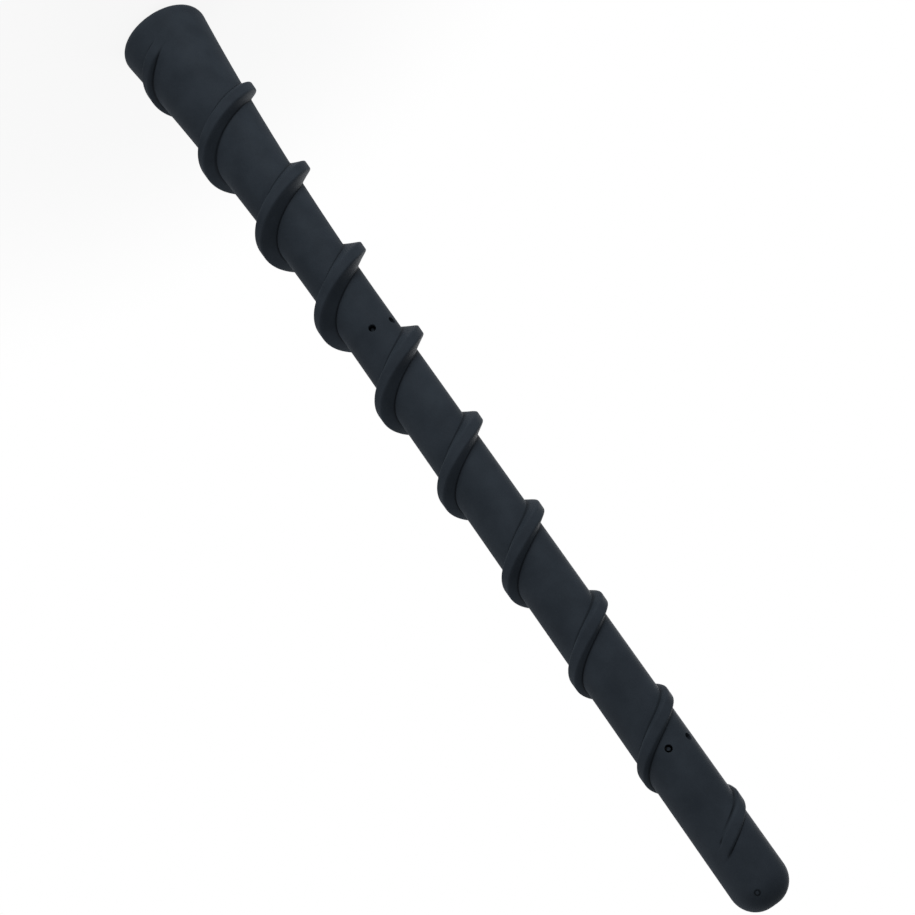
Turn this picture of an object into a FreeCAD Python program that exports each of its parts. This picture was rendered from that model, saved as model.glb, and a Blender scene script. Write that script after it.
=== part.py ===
import FreeCAD, Part
import math
import os

# Screw-on car antenna mast: a moulded rubber jacket with a helical rib,
# over a wound core and a threaded ferrule.
# Millimetres. +Z runs along the mast from its base end, which lies on Z = 0, to its tip.

# Jacket body
mast_length = 170.0
rim_radius = 7.7
waist_radius = 4.32
tip_radius = 4.53
flare_length = 62.0
flare_steps = 6
base_edge_radius = 1.9
tip_edge_radius = 4.0

# Helical rib, right-handed
rib_pitch = 17.0
rib_crest_base_radius = 7.8
rib_crest_tip_radius = 4.9
rib_crest_width = 1.8
rib_flank_slope = 0.5
rib_crest_bevel = 0.25
rib_root_base_radius = 4.6
rib_phase_angle = 160.0
rib_start_z = 5.4
rib_end_gap = 10.6
rib_line_points = 8

# Core-pin holes, two stations with a pair from each half of the mould
pin_hole_radius = 0.6
lower_pin_station_z = 65.7
upper_pin_station_gap = 26.0
pin_pair_middle_angle = 236.5
pin_pair_half_angle = 26.5

# Threaded ferrule
ferrule_radius = 4.8
ferrule_length = 14.0
groove_radius = 4.2
groove_low_z = 5.5
groove_width = 2.5
neck_radius = 3.0
neck_length = 9.0
thread_bore_radius = 2.5
thread_depth = 12.0
thread_chamfer = 0.6
drill_point_angle = 118.0

# Core
rod_radius = 1.5
rod_socket_depth = 7.0
tip_cover = 6.0
strip_width = 2.0
strip_thickness = 0.25
strip_turns = 12
strip_clearance = 0.02
winding_end_gap = 4.0
solder_height = 1.2
sleeve_wall = 0.3

# Sizes that follow from the ones above
rib_depth = rib_crest_base_radius - rib_root_base_radius
rib_end_z = mast_length - rib_end_gap
upper_pin_station_z = mast_length - upper_pin_station_gap
neck_top_z = ferrule_length + neck_length
rod_bottom_z = neck_top_z - rod_socket_depth
core_top_z = mast_length - tip_cover
winding_inner_radius = rod_radius + strip_clearance
winding_outer_radius = winding_inner_radius + strip_thickness
sleeve_bore_radius = winding_outer_radius + strip_clearance
sleeve_radius = sleeve_bore_radius + sleeve_wall

axis_up = FreeCAD.Vector(0, 0, 1)
origin = FreeCAD.Vector(0, 0, 0)


def at(radius, z, angle=0.0):
    """Point at a radius, height and turn angle in degrees."""
    turn = math.radians(angle)
    return FreeCAD.Vector(radius * math.cos(turn), radius * math.sin(turn), z)


def turned(edges):
    """Solid of revolution about Z from an open outline whose two ends lie on the axis."""
    outline = Part.Wire(edges)
    first = outline.OrderedVertexes[0].Point
    last = outline.OrderedVertexes[-1].Point
    closed = Part.Wire(outline.Edges + [Part.makeLine(last, first)])
    return Part.Face(closed).revolve(origin, axis_up, 360)


def turned_steps(corners):
    """Solid of revolution about Z through straight corners, each given as radius and height."""
    points = [at(radius, z) for radius, z in corners]
    return turned([Part.makeLine(a, b) for a, b in zip(points, points[1:])])


def tube(outer_radius, inner_radius, low_z, high_z):
    """Plain tube about Z."""
    height = high_z - low_z
    outer = Part.makeCylinder(outer_radius, height, at(0, low_z))
    return outer.cut(Part.makeCylinder(inner_radius, height, at(0, low_z)))


def upright_sweep(section, spine):
    """Solid swept by a section along a spine round Z, with the section kept in a plane through Z."""
    sweep = Part.BRepOffsetAPI.MakePipeShell(spine)
    sweep.setBiNormalMode(axis_up)
    sweep.add(section)
    sweep.build()
    sweep.makeSolid()
    return sweep.shape()


def crest_radius_at(z):
    """Radius of the cone that the rib's crest lies on."""
    return rib_crest_base_radius + (rib_crest_tip_radius - rib_crest_base_radius) * z / mast_length


def end_arc(centre, radius, first_angle, last_angle):
    """Arc in the XZ plane about a centre, from one angle to another in radians."""
    points = []
    for angle in (first_angle, (first_angle + last_angle) / 2, last_angle):
        points.append(centre + FreeCAD.Vector(math.cos(angle), 0, math.sin(angle)) * radius)
    return Part.Arc(*points).toShape()


def jacket_body():
    """Solid body of the jacket before the rib is added: flare, shaft and two rounded ends.

    The flare's straight steps have their corners on one arc, tangent to the shaft,
    and stay within 0.03 mm of it.
    """
    tip_lean = math.atan2(tip_radius - waist_radius, mast_length - flare_length)
    tip_z = mast_length - tip_edge_radius * (1 + math.sin(tip_lean))
    shoulder = at(tip_radius, tip_z)
    tip_centre = at(tip_radius - tip_edge_radius * math.cos(tip_lean), mast_length - tip_edge_radius)

    waist = at(waist_radius, flare_length)
    outward = FreeCAD.Vector(math.cos(tip_lean), 0, -math.sin(tip_lean))
    reach = at(rim_radius, 0) - waist
    flare_arc_radius = reach.dot(reach) / (2 * reach.dot(outward))
    flare_centre = waist + outward * flare_arc_radius

    rim_z = base_edge_radius * (flare_arc_radius + flare_centre.z) / (flare_arc_radius + base_edge_radius)
    rim_lean = math.asin((flare_centre.z - rim_z) / flare_arc_radius)
    rim = at(flare_centre.x - flare_arc_radius * math.cos(rim_lean), rim_z)
    base_centre = at(rim.x - base_edge_radius * math.cos(rim_lean), base_edge_radius)

    flare_points = [rim]
    for step in range(1, flare_steps):
        lean = rim_lean + (-tip_lean - rim_lean) * step / flare_steps
        inward = FreeCAD.Vector(math.cos(lean), 0, math.sin(lean))
        flare_points.append(flare_centre - inward * flare_arc_radius)
    flare_points.append(waist)

    base = [
        Part.makeLine(origin, at(base_centre.x, 0)),
        end_arc(base_centre, base_edge_radius, -math.pi / 2, rim_lean),
    ]
    flare = [Part.makeLine(low, high) for low, high in zip(flare_points, flare_points[1:])]
    shaft = [
        Part.makeLine(waist, shoulder),
        end_arc(tip_centre, tip_edge_radius, -tip_lean, math.pi / 2),
        Part.makeLine(at(tip_centre.x, mast_length), at(0, mast_length)),
    ]
    return turned(base + flare + shaft)


def rib_turn_at(z):
    """Turn angle of the rib's middle at a height."""
    return rib_phase_angle + 360.0 * z / rib_pitch


def rib_corners():
    """Corners of the upper half of the rib's section, from its crest to its root.

    X runs outwards from the crest and Z along the mast from the rib's middle line.
    """
    half_width = rib_crest_width / 2
    return [
        at(0, half_width - rib_crest_bevel),
        at(-rib_crest_bevel, half_width + rib_flank_slope * rib_crest_bevel),
        at(-rib_depth, half_width + rib_flank_slope * rib_depth),
    ]


def placed_on_crest(shape, z):
    """Shape made about the rib's middle line, moved out to the crest at a height."""
    moved = shape.translated(at(crest_radius_at(z), z))
    moved.rotate(origin, axis_up, rib_turn_at(z))
    return moved


def rib_section():
    """Corners of the rib's whole section, in order round it."""
    upper = rib_corners()
    return upper + [at(corner.x, -corner.z) for corner in reversed(upper)]


def rib_climb(z):
    """Direction of the rib's middle line at a height."""
    inward = crest_radius_at(z + 1) - crest_radius_at(z)
    around = crest_radius_at(z) * 2 * math.pi / rib_pitch
    return at(inward, 1, rib_turn_at(z)) + at(around, 0, rib_turn_at(z) + 90)


def crest_line(low_z, high_z):
    """Part of the conical helix along the middle of the rib's crest, with its true direction at both ends."""
    heights = [low_z + (high_z - low_z) * step / rib_line_points for step in range(rib_line_points + 1)]
    line = Part.BSplineCurve()
    points = [at(crest_radius_at(z), z, rib_turn_at(z)) for z in heights]
    line.interpolate(Points=points, InitialTangent=rib_climb(low_z), FinalTangent=rib_climb(high_z))
    return line.toShape()


def helical_rib():
    """Solids of the rib: its section led up the crest's helix, and a turned nose at each end."""
    parts = round(2 * (rib_end_z - rib_start_z) / rib_pitch)
    joints = [rib_start_z + (rib_end_z - rib_start_z) * step / parts for step in range(parts + 1)]
    spine = Part.Wire([crest_line(low_z, high_z) for low_z, high_z in zip(joints, joints[1:])])
    corners = rib_section()
    section = Part.makePolygon(corners + corners[:1])
    climb = upright_sweep(placed_on_crest(section, rib_start_z), spine)
    half_outline = [origin] + rib_corners() + [at(-rib_depth, 0), origin]
    nose = Part.Face(Part.makePolygon(half_outline)).revolve(origin, FreeCAD.Vector(1, 0, 0), 360)
    return [climb] + [placed_on_crest(nose, z) for z in (rib_start_z, rib_end_z)]


def ferrule_outline():
    """Outer form of the ferrule, filled in; the jacket is moulded round the same form."""
    groove_high_z = groove_low_z + groove_width
    return turned_steps([
        (0, 0), (ferrule_radius, 0), (ferrule_radius, groove_low_z), (groove_radius, groove_low_z),
        (groove_radius, groove_high_z), (ferrule_radius, groove_high_z), (ferrule_radius, ferrule_length),
        (neck_radius, ferrule_length), (neck_radius, neck_top_z), (0, neck_top_z),
    ])


def thread_hole():
    """Tapped hole of the ferrule at its wall radius, with a chamfered mouth and a drill point."""
    point_depth = thread_bore_radius / math.tan(math.radians(drill_point_angle / 2))
    return turned_steps([
        (0, 0), (thread_bore_radius + thread_chamfer, 0), (thread_bore_radius, thread_chamfer),
        (thread_bore_radius, thread_depth), (0, thread_depth + point_depth),
    ])


def pin_holes():
    """Core-pin holes, each a radial cylinder from the core sleeve out through the jacket."""
    reach = rim_radius
    holes = []
    for z in (lower_pin_station_z, upper_pin_station_z):
        for side in (0.0, 180.0):
            for half in (-pin_pair_half_angle, pin_pair_half_angle):
                outward = at(1.0, 0, pin_pair_middle_angle + side + half)
                holes.append(Part.makeCylinder(pin_hole_radius, reach, at(0, z), outward))
    return holes


def core_space():
    """Space that the sleeve and the core take up inside the jacket."""
    return Part.makeCylinder(sleeve_radius, core_top_z - neck_top_z, at(0, neck_top_z))


def mast_jacket():
    """Moulded jacket with its rib, hollowed for the ferrule and the core."""
    moulding = jacket_body()
    for piece in helical_rib():
        moulding = moulding.fuse(piece)
    return moulding.cut([ferrule_outline(), core_space()] + pin_holes())


def threaded_ferrule():
    """Ferrule with its tapped hole below and the rod's socket above."""
    socket = Part.makeCylinder(rod_radius, rod_socket_depth, at(0, rod_bottom_z))
    return ferrule_outline().cut([thread_hole(), socket])


def core_rod():
    """Straight rod from its socket in the ferrule to the end of the sleeve."""
    return Part.makeCylinder(rod_radius, core_top_z - rod_bottom_z, at(0, rod_bottom_z))


def radiator_winding():
    """Flat strip wound on the rod in open turns."""
    low_z = neck_top_z + solder_height + strip_clearance + strip_width / 2
    high_z = core_top_z - winding_end_gap
    edge_low_z = low_z - strip_width / 2
    edge_high_z = low_z + strip_width / 2
    corners = [at(radius, edge_low_z) for radius in (winding_inner_radius, winding_outer_radius)]
    corners += [at(radius, edge_high_z) for radius in (winding_outer_radius, winding_inner_radius)]
    section = Part.makePolygon(corners + corners[:1])
    spine = Part.makeHelix((high_z - low_z) / strip_turns, high_z - low_z, winding_inner_radius)
    spine.translate(at(0, low_z))
    return upright_sweep(section, spine)


def solder_joint():
    """Ring of solder round the rod on top of the ferrule's neck."""
    return tube(winding_outer_radius, rod_radius, neck_top_z, neck_top_z + solder_height)


def core_sleeve():
    """Tube shrunk over the winding and the rod."""
    return tube(sleeve_radius, sleeve_bore_radius, neck_top_z, core_top_z)


os.makedirs("parts", exist_ok=True)
mast_jacket().exportStep("parts/mast_jacket.step")
threaded_ferrule().exportStep("parts/threaded_ferrule.step")
core_rod().exportStep("parts/core_rod.step")
radiator_winding().exportStep("parts/radiator_winding.step")
solder_joint().exportStep("parts/solder_joint.step")
core_sleeve().exportStep("parts/core_sleeve.step")
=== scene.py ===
"""Dressed model of a screw-on car antenna mast: ribbed rubber jacket, threaded ferrule and wound core."""

import logging
import math
from dataclasses import dataclass, field
from enum import Enum
from typing import Any, Iterable, Sequence

import bmesh
import bpy
import numpy as np
from mathutils import Matrix, Vector

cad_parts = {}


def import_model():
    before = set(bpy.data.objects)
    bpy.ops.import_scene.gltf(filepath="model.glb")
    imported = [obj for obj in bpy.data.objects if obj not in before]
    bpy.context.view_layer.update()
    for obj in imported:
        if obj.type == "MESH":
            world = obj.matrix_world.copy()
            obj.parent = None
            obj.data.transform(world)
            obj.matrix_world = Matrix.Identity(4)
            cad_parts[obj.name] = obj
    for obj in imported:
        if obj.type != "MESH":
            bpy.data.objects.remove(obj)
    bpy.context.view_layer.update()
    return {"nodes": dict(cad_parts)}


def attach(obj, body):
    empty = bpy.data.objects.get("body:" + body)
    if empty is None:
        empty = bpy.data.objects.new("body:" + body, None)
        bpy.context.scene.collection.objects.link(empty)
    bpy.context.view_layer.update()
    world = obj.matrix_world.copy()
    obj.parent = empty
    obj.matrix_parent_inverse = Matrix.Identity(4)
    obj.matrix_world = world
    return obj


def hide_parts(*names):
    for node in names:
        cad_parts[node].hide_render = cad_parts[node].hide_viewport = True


log = logging.getLogger("antenna_mast")
MM = 0.001
# Attribute that holds painted shade along the creases at the rib's foot
OUTER = "outer_skin"
FOOT_SHADE = "rib_foot_shade"
WHITE = (1.0, 1.0, 1.0, 1.0)
SENSOR_MM = 36.0
# Numbers of a Mix node's two colour inputs and its colour output
MIX_FIRST, MIX_SECOND, MIX_RESULT = 6, 7, 2

Triple = tuple[float, float, float]
Corner = tuple[float, float]


class Side(Enum):
    """Direction in which a lamp stands from the mast, in the row frame."""

    KEY = (-0.48, -0.68, -0.55)
    FILL = (0.95, 0.15, 0.20)
    BACK = (-0.35, 0.93, 0.02)


class Sheet:
    """Node tree of a material, a world or a shape, with a short way to add nodes.

    Args:
        tree: Tree that the nodes go into.
    """

    def __init__(self, tree: bpy.types.NodeTree) -> None:
        """Keep the tree and empty it."""
        self.tree = tree
        tree.nodes.clear()

    def node(self, kind: str, settings: dict[str, Any] | None = None,
             inputs: dict[Any, Any] | None = None, output: int | str = 0) -> "Sock":
        """Add a node.

        Args:
            kind: Node type, such as ShaderNodeTexNoise.
            settings: Attributes set before the inputs.
            inputs: Socket names or numbers, with a value or a Sock each.
            output: Output that is handed back.

        Returns:
            The chosen output, or the first input of a node without outputs.
        """
        made = self.tree.nodes.new(kind)
        for name, value in (settings or {}).items():
            setattr(made, name, value)
        for name, value in (inputs or {}).items():
            if isinstance(value, Sock):
                self.tree.links.new(value.socket, made.inputs[name])
            else:
                made.inputs[name].default_value = value
        return Sock(self, made.outputs[output] if len(made.outputs) else made.inputs[0])

    def split(self, vector: "Sock") -> list["Sock"]:
        """Take a vector apart.

        Args:
            vector: Vector to take apart.

        Returns:
            Its x, y and z.
        """
        made = self.node("ShaderNodeSeparateXYZ", {}, {0: vector}).socket.node
        return [Sock(self, output) for output in made.outputs]

    def vector(self, x: Any = 0.0, y: Any = 0.0, z: Any = 0.0) -> "Sock":
        """Vector of three values or sockets."""
        return self.node("ShaderNodeCombineXYZ", {}, {0: x, 1: y, 2: z})

    def blended(self, factor: "Sock", first: Any, second: Any) -> "Sock":
        """Mix two colours.

        Args:
            factor: Share of the second colour.
            first: First colour.
            second: Second colour.

        Returns:
            The mixed colour.
        """
        inputs = {"Factor": factor, MIX_FIRST: first, MIX_SECOND: second}
        return self.node("ShaderNodeMix", {"data_type": "RGBA"}, inputs, output=MIX_RESULT)


class Sock:
    """Output socket that takes part in plain arithmetic.

    Args:
        sheet: Sheet that the socket's node is on.
        socket: The socket itself.
    """

    def __init__(self, sheet: Sheet, socket: bpy.types.NodeSocket) -> None:
        """Keep the sheet and the socket."""
        self.sheet = sheet
        self.socket = socket

    def math(self, operation: str, *others: Any) -> "Sock":
        """Add a Math node.

        Args:
            operation: Math node's operation.
            others: Further operands.

        Returns:
            The result.
        """
        operands = dict(enumerate((self, *others)))
        return self.sheet.node("ShaderNodeMath", {"operation": operation}, operands)

    def _swapped(self, operation: str, first: float) -> "Sock":
        """Math node with this socket as its second operand."""
        return self.sheet.node("ShaderNodeMath", {"operation": operation}, {0: first, 1: self})

    def __add__(self, other: Any) -> "Sock":
        """Sum."""
        return self.math("ADD", other)

    __radd__ = __add__

    def __sub__(self, other: Any) -> "Sock":
        """Difference."""
        return self.math("SUBTRACT", other)

    def __rsub__(self, other: float) -> "Sock":
        """Difference from a number."""
        return self._swapped("SUBTRACT", other)

    def __mul__(self, other: Any) -> "Sock":
        """Product."""
        return self.math("MULTIPLY", other)

    __rmul__ = __mul__

    def __truediv__(self, other: Any) -> "Sock":
        """Quotient."""
        return self.math("DIVIDE", other)

    def __rtruediv__(self, other: float) -> "Sock":
        """Quotient of a number by this."""
        return self._swapped("DIVIDE", other)

    def step(self, low: float = 0.0, high: float = 1.0) -> "Sock":
        """Smooth step from 0 at low to 1 at high.

        Args:
            low: Value that gives 0.
            high: Value that gives 1.

        Returns:
            The stepped value.
        """
        settings = {"interpolation_type": "SMOOTHSTEP", "clamp": True}
        span = {"Value": self, "From Min": low, "From Max": high, "To Min": 0.0, "To Max": 1.0}
        return self.sheet.node("ShaderNodeMapRange", settings, span)


class Recipe(Sheet):
    """Geometry Nodes tree with named sizes.

    Args:
        name: Name of the tree.
        sizes: Its inputs' names and values, lengths in metres.
    """

    def __init__(self, name: str, sizes: dict[str, float]) -> None:
        """Make the tree, its inputs and its output."""
        super().__init__(bpy.data.node_groups.new(name, "GeometryNodeTree"))
        face = self.tree.interface
        face.new_socket("Geometry", in_out="OUTPUT", socket_type="NodeSocketGeometry")
        face.new_socket("Geometry", in_out="INPUT", socket_type="NodeSocketGeometry")
        self.values: dict[str, float] = {}
        for label, value in sizes.items():
            socket = face.new_socket(label, in_out="INPUT", socket_type="NodeSocketFloat")
            self.values[socket.identifier] = value
        self.inlet = self.tree.nodes.new("NodeGroupInput")

    def given(self, name: str) -> Sock:
        """Input socket of that name."""
        return Sock(self, self.inlet.outputs[name])

    def finish(self, geometry: Sock, material: bpy.types.Material) -> None:
        """End the tree in Realize Instances and Set Material.

        Args:
            geometry: What the tree has made.
            material: Its material.
        """
        real = self.node("GeometryNodeRealizeInstances", {}, {"Geometry": geometry})
        painted = self.node("GeometryNodeSetMaterial", {}, {"Geometry": real, "Material": material})
        self.node("NodeGroupOutput", {}, {"Geometry": painted})

    def put_on(self, piece: bpy.types.Object) -> None:
        """Add the tree to a piece as a modifier with its sizes set.

        Args:
            piece: Piece that gets the modifier.
        """
        modifier = piece.modifiers.new(self.tree.name, "NODES")
        modifier.node_group = self.tree
        for identifier, value in self.values.items():
            modifier[identifier] = value


@dataclass(frozen=True)
class Finish:
    """Surface finish that a material is made from: clouds of two tones and a fine raised grain."""

    name: str
    light: Triple
    dark: Triple
    rough: float
    rough_spread: float
    grain_mm: float
    grain_height_mm: float
    cloud_mm: float
    metallic: float = 0.0
    specular: float = 0.5
    stretch: float = 1.0
    # Share of the dark tone that darker marks and painted shade are given
    mark_and_shade_tone: float = 0.3
    cloud_share: float = 0.7
    tone_band: tuple[float, float] = (0.3, 0.7)
    cloud_detail: float = 3.0
    grain_detail: float = 2.0
    noise_roughness: float = 0.55

    def noise(self, sheet: Sheet, place: Sock, size_mm: float, detail: float) -> Sock:
        """Cloudy noise with spots of a size.

        Args:
            sheet: Material's sheet.
            place: Coordinates in metres.
            size_mm: Size of the spots.
            detail: Detail of the noise.

        Returns:
            Noise about 0.5.
        """
        scale = (1.0, 1.0, 1.0 / self.stretch)
        moved = sheet.node("ShaderNodeMapping", {}, {"Vector": place, "Scale": scale})
        return sheet.node("ShaderNodeTexNoise", {}, {
            "Vector": moved, "Scale": 1.0 / (size_mm * MM), "Detail": detail,
            "Roughness": self.noise_roughness,
        })

    def marks(self, sheet: Sheet, place: Sock) -> tuple[Sock | None, Sock | None]:
        """Marks and painted shade on the surface, of which a plain finish has none.

        Args:
            sheet: Material's sheet.
            place: Coordinates in metres.

        Returns:
            Mask of darker marks and painted shade, and added height in metres, or None for each.
        """
        return None, None

    def material(self) -> bpy.types.Material:
        """Build the material.

        Returns:
            The finished material.
        """
        material = bpy.data.materials.new(self.name)
        material.use_nodes = True
        sheet = Sheet(material.node_tree)
        place = sheet.node("ShaderNodeTexCoord", output="Object")
        cloud = self.noise(sheet, place, self.cloud_mm, self.cloud_detail)
        grain = self.noise(sheet, place, self.grain_mm, self.grain_detail)
        share = (cloud * self.cloud_share + grain * (1.0 - self.cloud_share)).step(*self.tone_band)
        colour = sheet.blended(share, (*self.dark, 1.0), (*self.light, 1.0))
        # Darker marks and painted shade are mixed towards a darker copy of the dark tone
        marks_and_shade, added = self.marks(sheet, place)
        if marks_and_shade is not None:
            mark_and_shade_colour = tuple(value * self.mark_and_shade_tone for value in self.dark)
            colour = sheet.blended(marks_and_shade, colour, (*mark_and_shade_colour, 1.0))
        rough = (cloud - 0.5) * self.rough_spread + (grain - 0.5) * self.rough_spread + self.rough
        height = grain * (self.grain_height_mm * MM)
        if added is not None:
            height = height + added
        bump = sheet.node("ShaderNodeBump", {}, {"Height": height, "Strength": 1.0, "Distance": 1.0})
        shader = sheet.node("ShaderNodeBsdfPrincipled", {}, {
            "Base Color": colour, "Roughness": rough, "Metallic": self.metallic,
            "Specular IOR Level": self.specular, "Normal": bump,
        })
        sheet.node("ShaderNodeOutputMaterial", {}, {"Surface": shader})
        return material


@dataclass(frozen=True)
class MouldedRubber(Finish):
    """Soft-touch rubber with the mould's parting line, a gate mark near the tip and painted shade in the
    creases at the rib's foot.

    The gate's core and its ring are given as shares of the gate's radius.
    """

    parting_turn: float = 15.0
    parting_width_mm: float = 0.09
    parting_height_mm: float = 0.03
    parting_tone: float = 0.15
    gate_mm: Triple = (0.94, -4.17, 167.34)
    gate_radius_mm: float = 0.34
    gate_height_mm: float = 0.12
    gate_core: float = 0.55
    ring_inside: tuple[float, float] = (0.7, 1.0)
    ring_outside: tuple[float, float] = (1.1, 1.8)
    ring_depth: float = 0.6
    ring_tone: float = 0.9

    def marks(self, sheet: Sheet, place: Sock) -> tuple[Sock | None, Sock | None]:
        """Parting line along both sides, the gate's broken-off stub with a darker sunken ring round it, and
        painted shade in the creases at the rib's foot.

        Args:
            sheet: Material's sheet.
            place: Coordinates in metres.

        Returns:
            Mask of darker marks and painted shade, and added height in metres.
        """
        x, y, _ = sheet.split(place)
        turn = math.radians(self.parting_turn)
        off_plane = (x * math.sin(turn) - y * math.cos(turn)).math("ABSOLUTE")
        line = 1.0 - off_plane.step(0.0, self.parting_width_mm * MM)
        ends = {0: place, 1: tuple(value * MM for value in self.gate_mm)}
        distance = sheet.node("ShaderNodeVectorMath", {"operation": "DISTANCE"}, ends, output="Value")
        away = distance / (self.gate_radius_mm * MM)
        stub = 1.0 - away.step(self.gate_core, 1.0)
        ring = away.step(*self.ring_inside) * (1.0 - away.step(*self.ring_outside))
        raised = line * (self.parting_height_mm * MM) + stub * (self.gate_height_mm * MM)
        # Painted shade along the creases at the rib's foot, read from the attribute that the rib's tree
        # stores
        foot_shade = sheet.node("ShaderNodeAttribute", {"attribute_name": FOOT_SHADE}, output="Fac")
        marks_and_shade = (ring * self.ring_tone + line * self.parting_tone + foot_shade).math("MINIMUM", 1.0)
        return marks_and_shade, raised - ring * (self.gate_height_mm * MM * self.ring_depth)


@dataclass(frozen=True)
class ShadedHolePlate(Finish):
    """Plated metal with painted shade down its tapped hole, darker further in."""

    hole_radius_mm: float = 3.1
    hole_edge: float = 0.97
    shade_start_mm: float = 0.3
    shade_full_mm: float = 5.0
    hole_shade: float = 0.85

    def marks(self, sheet: Sheet, place: Sock) -> tuple[Sock | None, Sock | None]:
        """Painted shade on the wall of the hole, darker further in.

        Args:
            sheet: Material's sheet.
            place: Coordinates in metres.

        Returns:
            Mask of painted shade and None for the height.
        """
        x, y, z = sheet.split(place)
        radius = self.hole_radius_mm * MM
        within = 1.0 - (x * x + y * y).math("SQRT").step(radius * self.hole_edge, radius)
        # Painted shade inside the hole's radius, growing with depth
        return within * z.step(self.shade_start_mm * MM, self.shade_full_mm * MM) * self.hole_shade, None


RUBBER = MouldedRubber(
    "soft_touch_rubber", light=(0.0293, 0.0372, 0.0472), dark=(0.0208, 0.0266, 0.0342), rough=0.62,
    rough_spread=0.14, grain_mm=0.16, grain_height_mm=0.006, cloud_mm=5.0, specular=0.025,
)
NICKEL = ShadedHolePlate(
    "bright_nickel_plate", light=(0.70, 0.68, 0.64), dark=(0.56, 0.54, 0.50), rough=0.26,
    rough_spread=0.16, grain_mm=0.25, grain_height_mm=0.0012, cloud_mm=2.5, metallic=1.0,
)
COPPER = Finish(
    "bright_copper_strip", light=(0.80, 0.40, 0.22), dark=(0.62, 0.27, 0.13), rough=0.30,
    rough_spread=0.2, grain_mm=0.2, grain_height_mm=0.001, cloud_mm=3.0, metallic=1.0,
)
GLASS_FIBRE = Finish(
    "drawn_glass_fibre", light=(0.72, 0.70, 0.55), dark=(0.56, 0.53, 0.38), rough=0.42,
    rough_spread=0.15, grain_mm=0.1, grain_height_mm=0.003, cloud_mm=1.5, stretch=20.0,
)
TIN = Finish(
    "dull_tin_solder", light=(0.62, 0.62, 0.64), dark=(0.45, 0.45, 0.47), rough=0.45,
    rough_spread=0.2, grain_mm=0.2, grain_height_mm=0.004, cloud_mm=0.8, metallic=1.0,
)
SHRINK_TUBE = Finish(
    "shrunk_tube", light=(0.030, 0.031, 0.034), dark=(0.018, 0.019, 0.021), rough=0.5,
    rough_spread=0.15, grain_mm=0.2, grain_height_mm=0.004, cloud_mm=2.0,
)


@dataclass(frozen=True)
class Spindle:
    """Axis that outlines are turned about, with two directions across it. The foot is in millimetres."""

    foot: Triple = (0.0, 0.0, 0.0)
    along: Triple = (0.0, 0.0, 1.0)
    across: Triple = (1.0, 0.0, 0.0)
    beside: Triple = (0.0, 1.0, 0.0)

    def ring(self, radius: float, reach: float, sides: int) -> np.ndarray:
        """Points of a ring about the axis.

        Args:
            radius: Radius of the ring.
            reach: Distance of the ring along the axis from the foot.
            sides: Number of points.

        Returns:
            One row for each point.
        """
        turn = math.tau * np.arange(sides) / sides
        spokes = np.outer(np.cos(turn), self.across) + np.outer(np.sin(turn), self.beside)
        return np.array(self.foot) + np.array(self.along) * reach + spokes * radius


class Sketch:
    """Vertices and faces that a mesh is gathered from, in millimetres."""

    def __init__(self) -> None:
        """Start with nothing."""
        self.points: list[np.ndarray] = []
        self.faces: list[list[int]] = []
        self.total = 0

    def spots(self, places: np.ndarray) -> np.ndarray:
        """Add vertices.

        Args:
            places: One row for each vertex.

        Returns:
            Their numbers.
        """
        self.points.append(places)
        self.total += len(places)
        return np.arange(self.total - len(places), self.total)

    def face(self, loop: Iterable[int]) -> None:
        """Add a face unless it has shrunk away.

        Args:
            loop: Vertex numbers in order, in which one may come twice.
        """
        kept = list(dict.fromkeys(int(number) for number in loop))
        if len(kept) > 2:
            self.faces.append(kept)

    def turned(self, path: Sequence[Corner], sides: int, spindle: Spindle = Spindle(),
               start: np.ndarray | None = None) -> None:
        """Turn an outline about an axis.

        Args:
            path: Radius and reach of each corner. A radius of 0 is one point on the axis, and a path that
                comes back to its first corner closes on itself.
            sides: Number of sides.
            spindle: The axis.
            start: Ring of vertices that the outline goes on from, if there is one.
        """
        loops = [] if start is None else [start]
        for number, (radius, reach) in enumerate(path):
            if number > 0 and (radius, reach) == path[0]:
                loops.append(loops[0])
            elif radius > 0.0:
                loops.append(self.spots(spindle.ring(radius, reach, sides)))
            else:
                loops.append(np.repeat(self.spots(spindle.ring(0.0, reach, 1)), sides))
        for one, two in zip(loops, loops[1:]):
            for column in range(sides):
                after = (column + 1) % sides
                self.face((one[column], one[after], two[after], two[column]))

    def used(self) -> list[int]:
        """Numbers of the vertices that a face uses, in order."""
        return sorted({number for face in self.faces for number in face})

    def piece(self, name: str) -> bpy.types.Object:
        """Make an object of the vertices in use, with its faces pointing outwards.

        Args:
            name: Name of the object.

        Returns:
            The object, linked to the scene.
        """
        used = self.used()
        renumber = {old: new for new, old in enumerate(used)}
        points = np.concatenate(self.points)[used] * MM
        mesh = bpy.data.meshes.new(name)
        mesh.from_pydata(points.tolist(), [], [[renumber[number] for number in face] for face in self.faces])
        made = bmesh.new()
        made.from_mesh(mesh)
        bmesh.ops.recalc_face_normals(made, faces=made.faces)
        made.to_mesh(mesh)
        made.free()
        return linked(name, mesh)


def linked(name: str, data: bpy.types.ID) -> bpy.types.Object:
    """Object of a mesh, lamp or camera, linked to the scene.

    Args:
        name: Name of the object.
        data: What the object shows.

    Returns:
        The object.
    """
    made = bpy.data.objects.new(name, data)
    bpy.context.collection.objects.link(made)
    return made


def arc(centre: Corner, radius: float, start: float, end: float, steps: int) -> list[Corner]:
    """Corners along a rounded edge of an outline, without its first point.

    Args:
        centre: Centre of the edge.
        radius: Radius of the edge.
        start: Angle of the first point.
        end: Angle of the last point.
        steps: Number of corners.

    Returns:
        The corners.
    """
    return [(centre[0] + radius * math.cos(turn), centre[1] + radius * math.sin(turn))
            for turn in np.linspace(start, end, steps + 1)[1:]]


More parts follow.
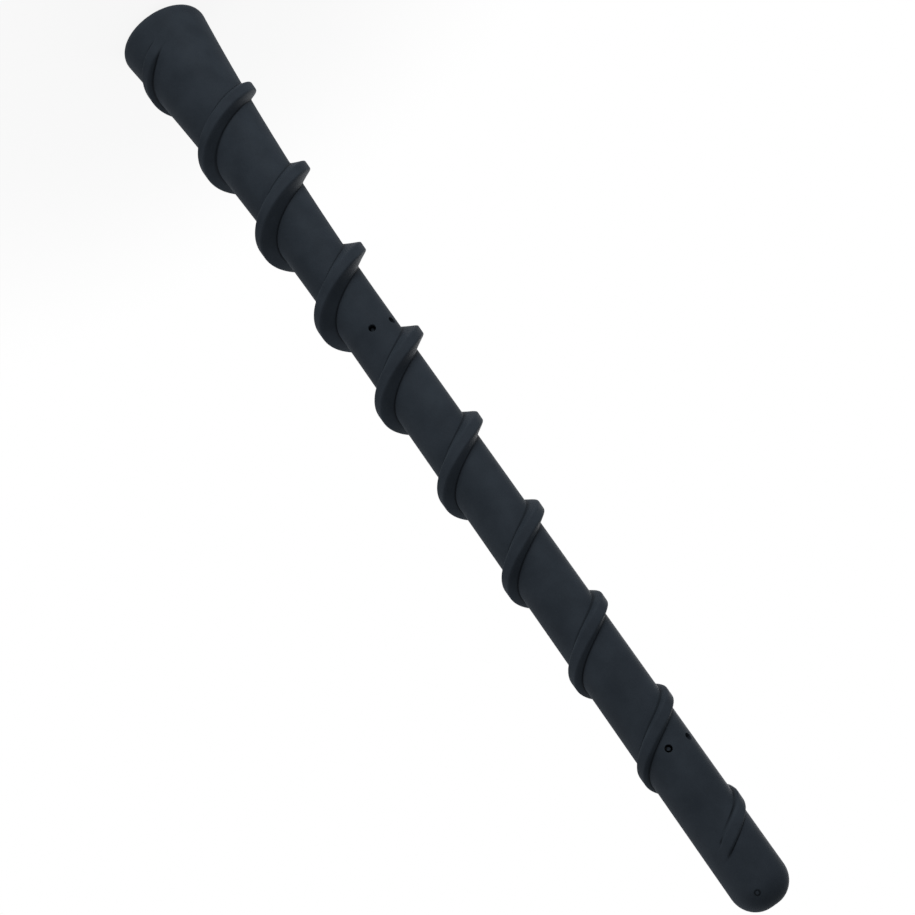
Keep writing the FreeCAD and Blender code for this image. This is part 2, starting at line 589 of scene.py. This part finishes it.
def shade(piece: bpy.types.Object, degrees: float) -> None:
    """Shade a piece smoothly, with sharp edges where faces meet at more than an angle.

    Args:
        piece: Piece to shade.
        degrees: The angle.
    """
    piece.data.polygons.foreach_set("use_smooth", [True] * len(piece.data.polygons))
    piece.data.set_sharp_from_angle(angle=math.radians(degrees))


def settled(piece: bpy.types.Object) -> None:
    """Turn a piece's modifiers into plain mesh.

    Args:
        piece: Piece whose modifiers are used up.
    """
    graph = bpy.context.evaluated_depsgraph_get()
    mesh = bpy.data.meshes.new_from_object(piece.evaluated_get(graph))
    old = piece.data
    piece.modifiers.clear()
    piece.data = mesh
    bpy.data.meshes.remove(old)


def dress(piece: bpy.types.Object, material: bpy.types.Material) -> None:
    """Give a new piece its material, body and slot.

    Args:
        piece: Piece to dress.
        material: Its material.
    """
    piece.data.materials.clear()
    piece.data.materials.append(material)
    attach(piece, "root")
    log.info("%s: %d faces", piece.name, len(piece.data.polygons))


@dataclass(frozen=True)
class InsertSeat:
    """Outside of the metal insert, which the rubber is moulded round. Sizes in millimetres."""

    radius: float = 4.8
    groove_radius: float = 4.2
    groove_low: float = 5.5
    groove_high: float = 8.0
    head_length: float = 14.0
    neck_radius: float = 3.0
    neck_top: float = 23.0

    def groove(self) -> list[Corner]:
        """Outline of the groove that keeps the insert from being pulled out."""
        return [(self.radius, self.groove_low), (self.groove_radius, self.groove_low),
                (self.groove_radius, self.groove_high), (self.radius, self.groove_high)]

    def neck(self) -> list[Corner]:
        """Outline of the neck."""
        return [(self.neck_radius, self.head_length), (self.neck_radius, self.neck_top)]


@dataclass
class MastJacket:
    """Moulded rubber jacket: flared body, helical rib, rounded ends and core-pin holes.

    Sizes are in millimetres and angles in degrees. Each row band gives the first and last offset from the
    rib's middle and the number of rows, on the crest, at its corner, down the flank and on the open body.
    """

    length: float = 170.0
    rim_radius: float = 7.7
    waist_radius: float = 4.32
    tip_radius: float = 4.53
    flare_length: float = 62.0
    base_edge: float = 1.9
    tip_edge: float = 4.0
    pitch: float = 17.0
    crest_base: float = 7.8
    crest_tip: float = 4.9
    crest_width: float = 1.8
    flank_slope: float = 0.5
    corner_blend: float = 0.7
    foot_blend: float = 0.2
    start_taper: float = 1.5
    start_sink: float = 0.95
    end_taper: float = 1.1
    end_sink: float = 0.9
    # Rib height over which the painted shade at the rib's foot fades in, and the width of its band
    foot_shade_height: float = 0.4
    end_stretch: float = 1.1
    stretch_from: float = 145.0
    stretch_to: float = 160.0
    phase: float = 160.0
    rib_start: float = 5.4
    rib_end: float = 159.4
    pin_radius: float = 0.6
    pin_stations: tuple[float, float] = (65.7, 144.0)
    pin_middle: float = 236.5
    pin_half: float = 26.5
    pin_reach: tuple[float, float] = (1.6, 9.0)
    pin_sides: int = 28
    pip_radius: float = 0.28
    pip_depths: tuple[float, float] = (0.75, 0.45)
    seat: InsertSeat = InsertSeat()
    core_radius: float = 2.09
    core_top: float = 164.0
    columns: int = 112
    row_bands: tuple[tuple[float, float, int], ...] = (
        (0.3, 0.52, 2), (0.64, 1.2, 8), (1.32, 2.6, 9), (3.0, 8.0, 9),
    )
    spare_turns: int = 2
    base_steps: int = 10
    tip_steps: int = 14
    sharp_angle: float = 32.0
    tip_lean: float = field(init=False)
    arc_radius: float = field(init=False)
    arc_centre: Corner = field(init=False)

    def __post_init__(self) -> None:
        """Work out the flare's arc, tangent to the shaft at the waist."""
        self.tip_lean = math.atan2(self.tip_radius - self.waist_radius, self.length - self.flare_length)
        out = (math.cos(self.tip_lean), -math.sin(self.tip_lean))
        reach = (self.rim_radius - self.waist_radius, -self.flare_length)
        self.arc_radius = (reach[0] ** 2 + reach[1] ** 2) / (2 * (reach[0] * out[0] + reach[1] * out[1]))
        self.arc_centre = (self.waist_radius + out[0] * self.arc_radius,
                           self.flare_length + out[1] * self.arc_radius)

    @property
    def rim_z(self) -> float:
        """Height where the rounded base edge meets the flare."""
        return self.base_edge * (self.arc_radius + self.arc_centre[1]) / (self.arc_radius + self.base_edge)

    @property
    def shoulder_z(self) -> float:
        """Height where the rounded tip begins."""
        return self.length - self.tip_edge * (1 + math.sin(self.tip_lean))

    def body_radius(self, z: np.ndarray) -> np.ndarray:
        """Radius of the body without its rib.

        Args:
            z: Heights.

        Returns:
            Radii.
        """
        share = (z - self.flare_length) / (self.shoulder_z - self.flare_length)
        shaft = self.waist_radius + (self.tip_radius - self.waist_radius) * share
        drop = np.sqrt(np.maximum(self.arc_radius ** 2 - (z - self.arc_centre[1]) ** 2, 0.0))
        return np.where(z < self.flare_length, self.arc_centre[0] - drop, shaft)

    def base_path(self) -> list[Corner]:
        """Rounded edge from the flare to the base end.

        Returns:
            Corners of the outline.
        """
        lean = math.asin((self.rim_z - self.base_edge) / self.base_edge)
        middle = float(self.body_radius(np.array(self.rim_z))) - self.base_edge * math.cos(lean)
        return arc((middle, self.base_edge), self.base_edge, lean, -math.pi / 2, self.base_steps)

    def cavity_path(self) -> list[Corner]:
        """Hollow that holds the insert and the core, from the base end to its closed top.

        Returns:
            Corners of the outline.
        """
        seat = self.seat
        return [(seat.radius, 0.0), *seat.groove(), (seat.radius, seat.head_length), *seat.neck(),
                (self.core_radius, seat.neck_top), (self.core_radius, self.core_top), (0.0, self.core_top)]

    def tip_path(self) -> list[Corner]:
        """Rounded edge from the shaft to the middle of the tip.

        Returns:
            Corners of the outline.
        """
        middle = (self.tip_radius - self.tip_edge * math.cos(self.tip_lean), self.length - self.tip_edge)
        edge = arc(middle, self.tip_edge, -self.tip_lean, math.pi / 2, self.tip_steps)
        return [*edge, (0.0, self.length)]

    def rib_recipe(self, material: bpy.types.Material) -> Recipe:
        """Geometry Nodes tree that raises the helical rib on the plain body.

        The height is worked out from the distance to the rib's middle line, which climbs round the axis at
        the rib's pitch, is stretched a little on its last turn and has a rounded, lowered nose at each end.
        The tree also stores a mask of painted shade along the creases at the rib's foot, which darkens the
        rubber's colour.

        Args:
            material: Material of the jacket.

        Returns:
            The tree, ready to be put on the body.
        """
        lengths = {
            "Pitch": self.pitch, "Length": self.length, "Crest Base": self.crest_base,
            "Crest Tip": self.crest_tip, "Crest Width": self.crest_width, "Corner Blend": self.corner_blend,
            "Foot Blend": self.foot_blend, "Foot Shade Height": self.foot_shade_height, "Start": self.rib_start,
            "Start Taper": self.start_taper, "End": self.rib_end, "End Taper": self.end_taper,
            "End Stretch": self.end_stretch, "Stretch From": self.stretch_from, "Stretch To": self.stretch_to,
        }
        recipe = Recipe("helical_rib", {name: value * MM for name, value in lengths.items()} | {
            "Phase": math.radians(self.phase), "Flank Slope": self.flank_slope,
            "Start Sink": self.start_sink, "End Sink": self.end_sink,
        })
        given, node = recipe.given, recipe.node
        x, y, z = recipe.split(node("GeometryNodeInputPosition"))
        body = (x * x + y * y).math("SQRT")
        turn = y.math("ARCTAN2", x)
        crest = given("Crest Base") + (given("Crest Tip") - given("Crest Base")) * z / given("Length")
        stretched = (z - given("Stretch From")) / (given("Stretch To") - given("Stretch From"))
        climb = z - given("End Stretch") * stretched.step()
        own = given("Pitch") * (turn - given("Phase")) / math.tau
        middle = own + given("Pitch") * ((climb - own) / given("Pitch")).math("ROUND")
        off = (climb - middle).math("ABSOLUTE")
        sinks = []
        for name, way in (("Start", 1.0), ("End", -1.0)):
            end = given(name)
            inside = (middle - end) * way
            past = turn - given("Phase") - end * math.tau / given("Pitch")
            around = past.math("WRAP", math.pi, -math.pi) * crest
            nose = ((climb - end) * (climb - end) + around * around).math("SQRT")
            off = off + inside.math("LESS_THAN", 0.0) * (nose - off)
            sinks.append((1.0 - (inside / given(f"{name} Taper")).step()) * given(f"{name} Sink"))
        top = crest - sinks[0].math("MAXIMUM", sinks[1]) * (crest - body)
        flank = top - (off - given("Crest Width") / 2.0) / given("Flank Slope")
        rib = top.math("SMOOTH_MIN", flank, given("Corner Blend"))
        wide = body.math("SMOOTH_MAX", rib, given("Foot Blend")) / body
        # Painted shade along the foot of each flank, faded out where the rib is low
        height = (top - body) / given("Foot Shade Height")
        foot_shade = 1.0 - ((flank - body).math("ABSOLUTE") / given("Foot Shade Height")).step()
        outer = node("GeometryNodeInputNamedAttribute", {"data_type": "FLOAT"}, {"Name": OUTER})
        kept = node("GeometryNodeStoreNamedAttribute", {"data_type": "FLOAT", "domain": "POINT"}, {
            "Geometry": given("Geometry"), "Name": FOOT_SHADE, "Value": foot_shade * height.step() * outer,
        })
        raised = node("GeometryNodeSetPosition", {}, {
            "Geometry": kept, "Selection": outer.math("GREATER_THAN", 0.5),
            "Position": recipe.vector(x * wide, y * wide, z),
        })
        recipe.finish(raised, material)
        return recipe

    def row_offsets(self) -> np.ndarray:
        """Axial offsets of the skin's rows within a pitch, close together on the rib.

        Returns:
            Offsets from below the rib's middle to above it.
        """
        half = np.concatenate([np.linspace(*band) for band in self.row_bands])
        return np.concatenate([-half[::-1], [0.0], half])

    def skin(self) -> tuple[Sketch, int]:
        """Closed skin of the plain body.

        Its rows climb with the rib, and rings go on from them over both ends and up the cavity.

        Returns:
            The skin, and how many of its first vertices lie on the ribbed length.
        """
        sketch = Sketch()
        offsets = self.row_offsets()
        share = np.arange(self.columns) / self.columns
        turns = np.arange(-self.spare_turns, math.ceil(self.length / self.pitch) + self.spare_turns)
        starts = self.pitch * (turns - self.phase / 360.0)
        rows = (starts[:, None] + offsets).ravel()
        low, high = self.rim_z, self.shoulder_z
        z = np.clip(rows[:, None] + self.pitch * share, low, high)
        radius = self.body_radius(z)
        around = math.tau * share
        places = np.stack([radius * np.cos(around), radius * np.sin(around), z], axis=-1)
        number = sketch.spots(places.reshape(-1, 3)).reshape(z.shape)
        first, last = number[0], number[-1]
        number = np.where(z <= low, first, np.where(z >= high, last, number))
        for column in range(self.columns):
            after = (column + 1) % self.columns
            climb = len(offsets) if after == 0 else 0
            for row in range(len(rows) - 1 - climb):
                ahead = row + climb
                sketch.face((number[row, column], number[ahead, after],
                             number[ahead + 1, after], number[row + 1, column]))
        sketch.turned([*self.base_path(), *self.cavity_path()], self.columns, start=first)
        sketch.turned(self.tip_path(), self.columns, start=last)
        return sketch, z.size

    def pins(self) -> bpy.types.Object:
        """Cutters of the core-pin holes, each hollow where a pip stays.

        Returns:
            One object with a cutter for each hole.
        """
        sketch = Sketch()
        inner, outer = self.pin_reach
        for z, pip_depth in zip(self.pin_stations, self.pip_depths):
            pip_top = float(self.body_radius(np.array(z))) - pip_depth
            path = [
                (self.pip_radius, inner), (self.pin_radius, inner), (self.pin_radius, outer), (0.0, outer),
                (0.0, pip_top), (self.pip_radius, pip_top), (self.pip_radius, inner),
            ]
            for side in (0.0, 180.0):
                for half in (-self.pin_half, self.pin_half):
                    turn = math.radians(self.pin_middle + side + half)
                    out = (math.cos(turn), math.sin(turn), 0.0)
                    across = (-math.sin(turn), math.cos(turn), 0.0)
                    spindle = Spindle((0.0, 0.0, z), out, across, (0.0, 0.0, 1.0))
                    sketch.turned(path, self.pin_sides, spindle)
        return sketch.piece("pin_cutters")

    def build(self) -> bpy.types.Object:
        """Make and dress the jacket.

        Returns:
            The finished piece.
        """
        sketch, ribbed = self.skin()
        piece = sketch.piece("rubber_jacket")
        outer = piece.data.attributes.new(OUTER, "FLOAT", "POINT")
        outer.data.foreach_set("value", [float(number < ribbed) for number in sketch.used()])
        material = RUBBER.material()
        self.rib_recipe(material).put_on(piece)
        cutters = self.pins()
        cut = piece.modifiers.new("pin_holes", "BOOLEAN")
        cut.operation = "DIFFERENCE"
        cut.solver = "EXACT"
        cut.object = cutters
        settled(piece)
        bpy.data.objects.remove(cutters)
        shade(piece, self.sharp_angle)
        dress(piece, material)
        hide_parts("mast_jacket")
        return piece


@dataclass
class ThreadedFerrule:
    """Plated insert with a tapped hole: a lathe-turned shell and a helical thread. Sizes in millimetres."""

    seat: InsertSeat = InsertSeat()
    edge: float = 0.15
    mouth_radius: float = 3.12
    mouth_depth: float = 0.5
    hole_depth: float = 12.0
    root_depth: float = 11.9
    drill_tip: float = 13.5
    rod_radius: float = 1.5
    rod_seat: float = 16.0
    thread_root: float = 3.0
    thread_crest: float = 2.5
    thread_pitch: float = 1.0
    thread_low: float = 0.7
    thread_high: float = 11.8
    ridge_sink: float = 0.02
    ridge_share: float = 0.86
    ridge_corners: int = 3
    turn_steps: int = 64
    columns: int = 96
    sharp_angle: float = 30.0

    def outline(self) -> list[Corner]:
        """Outline of the shell, from the drilled hole's tip round the outside to the rod's seat.

        Returns:
            Radius and height of each corner.
        """
        seat, edge = self.seat, self.edge
        return [
            (0.0, self.drill_tip), (self.thread_crest, self.hole_depth), (self.thread_root, self.root_depth),
            (self.thread_root, self.mouth_depth), (self.mouth_radius, 0.0),
            (seat.radius - edge, 0.0), (seat.radius, edge), *seat.groove(),
            (seat.radius, seat.head_length - edge), (seat.radius - edge, seat.head_length), *seat.neck(),
            (self.rod_radius, seat.neck_top), (self.rod_radius, self.rod_seat), (0.0, self.rod_seat),
        ]

    def shell(self) -> bpy.types.Object:
        """Lathe-turned body with its hole at the thread's root.

        Returns:
            The body.
        """
        sketch = Sketch()
        sketch.turned(self.outline(), self.columns)
        return sketch.piece("plated_ferrule")

    def thread_recipe(self, material: bpy.types.Material) -> Recipe:
        """Geometry Nodes tree of a helical thread ridge.

        Args:
            material: Material of the ridge.

        Returns:
            The tree.
        """
        recipe = Recipe("helical_thread", {
            "Root Radius": (self.thread_root + self.ridge_sink) * MM, "Pitch": self.thread_pitch * MM,
            "Turns": (self.thread_high - self.thread_low) / self.thread_pitch, "Low": self.thread_low * MM,
            "Ridge Height": (self.thread_root - self.thread_crest) * MM,
            "Ridge Width": self.thread_pitch * self.ridge_share * MM,
        })
        given, node = recipe.given, recipe.node
        spiral = node("GeometryNodeCurveSpiral", {}, {
            "Resolution": self.turn_steps, "Rotations": given("Turns"), "Start Radius": given("Root Radius"),
            "End Radius": given("Root Radius"), "Height": given("Pitch") * given("Turns"),
        })
        upright = node("GeometryNodeSetCurveNormal", {"mode": "Z_UP"}, {"Curve": spiral})
        # A triangle in a circle of radius 1 is 3/2 high and sqrt(3) wide, with its centre a third up
        corners = {"Resolution": self.ridge_corners, "Radius": 1.0}
        ridge = node("GeometryNodeCurvePrimitiveCircle", {"mode": "RADIUS"}, corners)
        size = recipe.vector(given("Ridge Height") * (2.0 / 3.0), given("Ridge Width") / math.sqrt(3.0), 1.0)
        section = node("GeometryNodeTransform", {}, {
            "Geometry": ridge, "Translation": recipe.vector(x=given("Ridge Height") / 3.0), "Scale": size,
        })
        swept = node("GeometryNodeCurveToMesh", {}, {
            "Curve": upright, "Profile Curve": section, "Fill Caps": True,
        })
        rise = recipe.vector(z=given("Low"))
        lifted = node("GeometryNodeTransform", {}, {"Geometry": swept, "Translation": rise})
        recipe.finish(lifted, material)
        return recipe

    def thread(self, material: bpy.types.Material) -> bpy.types.Object:
        """Helical ridge of the female thread.

        Args:
            material: Material of the ridge.

        Returns:
            The ridge as plain mesh.
        """
        piece = linked("ferrule_thread", bpy.data.meshes.new("ferrule_thread"))
        self.thread_recipe(material).put_on(piece)
        settled(piece)
        return piece

    def build(self) -> list[bpy.types.Object]:
        """Make and dress the ferrule.

        Returns:
            The body and its thread.
        """
        material = NICKEL.material()
        body = self.shell()
        shade(body, self.sharp_angle)
        dress(body, material)
        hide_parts("threaded_ferrule")
        ridge = self.thread(material)
        shade(ridge, self.sharp_angle)
        dress(ridge, material)
        return [body, ridge]


@dataclass
class WoundCore:
    """Rod, winding, solder and sleeve, which keep their solids and get their finishes."""

    finishes: dict[str, Finish] = field(default_factory=lambda: {
        "core_rod": GLASS_FIBRE, "radiator_winding": COPPER, "solder_joint": TIN, "core_sleeve": SHRINK_TUBE,
    })

    def dress(self, nodes: dict[str, bpy.types.Object]) -> None:
        """Put each finish in its node's material slot.

        Args:
            nodes: CAD nodes by name.
        """
        for name, finish in self.finishes.items():
            node = nodes[name]
            material = finish.material()
            if node.material_slots:
                node.material_slots[0].material = material
            else:
                node.data.materials.append(material)
            log.info("%s: %s", name, finish.name)


@dataclass
class Studio:
    """Floor, lamps, background and the camera at the photograph's viewing angle.

    Places in the image are in pixels, angles in degrees, and lengths in metres unless their names say
    otherwise. Each lamp has its power in watts and its width.
    """

    focal_px: float = 1934.42
    frame_px: float = 915.0
    centre_px: Corner = (462.77, 457.84)
    base_px: Corner = (160.05, 32.57)
    base_depth_mm: float = 320.1
    slant: float = 54.83
    tilt: float = 15.968
    near_clip: float = 0.01
    lamp_distance: float = 0.5
    lamps: dict[Side, tuple[float, float]] = field(default_factory=lambda: {
        Side.KEY: (1.62, 0.23), Side.FILL: (0.9, 0.4), Side.BACK: (1.42, 0.4),
    })
    aim_height: float = 0.085
    world_dim: float = 0.35
    floor_half: float = 6.0
    floor_drop: float = 0.00005
    floor_grey: float = 0.9
    floor_shadow: float = 0.11
    shadow_reach: tuple[float, float] = (0.02, 0.1)

    def camera(self) -> bpy.types.Object:
        """Camera that sees the mast as the photograph does.

        Returns:
            The camera.
        """
        slant, tilt = math.radians(self.slant), math.radians(self.tilt)
        level = math.cos(tilt)
        along = Vector((math.cos(slant) * level, math.sin(slant) * level, -math.sin(tilt)))
        side = Vector((math.sin(slant), -math.cos(slant), 0.0))
        axes = (-side, -along.cross(side), along)
        across, down = (base - centre for base, centre in zip(self.base_px, self.centre_px))
        base = Vector((across, down, self.focal_px)) * (self.base_depth_mm / self.focal_px * MM)
        right = Vector([axis.x for axis in axes])
        up = Vector([-axis.y for axis in axes])
        back = Vector([-axis.z for axis in axes])
        place = Vector([-base.dot(axis) for axis in axes])
        data = bpy.data.cameras.new("photo_camera")
        data.sensor_width = SENSOR_MM
        data.lens = self.focal_px / self.frame_px * SENSOR_MM
        data.shift_x = (self.frame_px / 2 - self.centre_px[0]) / self.frame_px
        data.shift_y = (self.centre_px[1] - self.frame_px / 2) / self.frame_px
        data.clip_start = self.near_clip
        camera = linked("photo_camera", data)
        turned = Matrix((right, up, back)).transposed()
        camera.matrix_world = Matrix.Translation(place) @ turned.to_4x4()
        bpy.context.scene.camera = camera
        return camera

    def seen(self, sheet: Sheet) -> Sock:
        """Factor of 1 for rays that should find a white background.

        Args:
            sheet: Sheet of the floor or the world.

        Returns:
            The factor.
        """
        straight, glossy, through = (
            sheet.node("ShaderNodeLightPath", output=name)
            for name in ("Is Camera Ray", "Is Glossy Ray", "Is Transmission Ray")
        )
        return (straight + glossy + through).math("MINIMUM", 1.0)

    def floor(self) -> None:
        """Pale floor that keeps the mast's shadow and lets light through from below, like a light table."""
        half = self.floor_half
        corners = [(-half, -half, 0), (half, -half, 0), (half, half, 0), (-half, half, 0)]
        mesh = bpy.data.meshes.new("studio_floor")
        mesh.from_pydata(corners, [], [(0, 1, 2, 3)])
        floor = linked("studio_floor", mesh)
        floor.location.z = -self.floor_drop
        material = bpy.data.materials.new("pale_floor")
        material.use_nodes = True
        sheet = Sheet(material.node_tree)
        grey = (self.floor_grey, self.floor_grey, self.floor_grey, 1.0)
        matte = sheet.node("ShaderNodeBsdfDiffuse", {}, {"Color": grey})
        white = sheet.node("ShaderNodeEmission", {}, {"Color": WHITE, "Strength": 1.0})
        place = sheet.node("ShaderNodeTexCoord", output="Object")
        away = sheet.node("ShaderNodeVectorMath", {"operation": "LENGTH"}, {0: place}, output="Value")
        plain = 1.0 - (1.0 - away.step(*self.shadow_reach)) * self.floor_shadow
        mixed = sheet.node("ShaderNodeMixShader", {}, {0: self.seen(sheet) * plain, 1: matte, 2: white})
        below = sheet.node("ShaderNodeNewGeometry", output="Backfacing")
        clear = sheet.node("ShaderNodeBsdfTransparent")
        table = sheet.node("ShaderNodeMixShader", {}, {0: below, 1: mixed, 2: clear})
        sheet.node("ShaderNodeOutputMaterial", {}, {"Surface": table})
        mesh.materials.append(material)
        floor.visible_shadow = False

    def light(self) -> None:
        """Soft lamps round the mast and a white world."""
        aim = Vector((0.0, 0.0, self.aim_height))
        for side, (power, size) in self.lamps.items():
            data = bpy.data.lights.new(f"{side.name.lower()}_lamp", "AREA")
            data.energy = power
            data.size = size
            lamp = linked(data.name, data)
            lamp.location = aim + Vector(side.value).normalized() * self.lamp_distance
            lamp.rotation_euler = (aim - lamp.location).to_track_quat("-Z", "Y").to_euler()
        world = bpy.data.worlds.new("white_studio")
        world.use_nodes = True
        sheet = Sheet(world.node_tree)
        dim = sheet.node("ShaderNodeBackground", {}, {"Color": WHITE, "Strength": self.world_dim})
        white = sheet.node("ShaderNodeBackground", {}, {"Color": WHITE, "Strength": 1.0})
        mixed = sheet.node("ShaderNodeMixShader", {}, {0: self.seen(sheet), 1: dim, 2: white})
        sheet.node("ShaderNodeOutputWorld", {}, {"Surface": mixed})
        bpy.context.scene.world = world

    def build(self) -> None:
        """Set up camera, floor and light."""
        bpy.context.scene.view_settings.view_transform = "Standard"
        self.camera()
        self.floor()
        self.light()


def main() -> None:
    """Build every piece and the studio."""
    logging.basicConfig(level=logging.INFO, format="%(message)s")
    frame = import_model()
    Studio().build()
    MastJacket().build()
    ThreadedFerrule().build()
    WoundCore().dress(frame["nodes"])


if __name__ == "__main__":
    main()
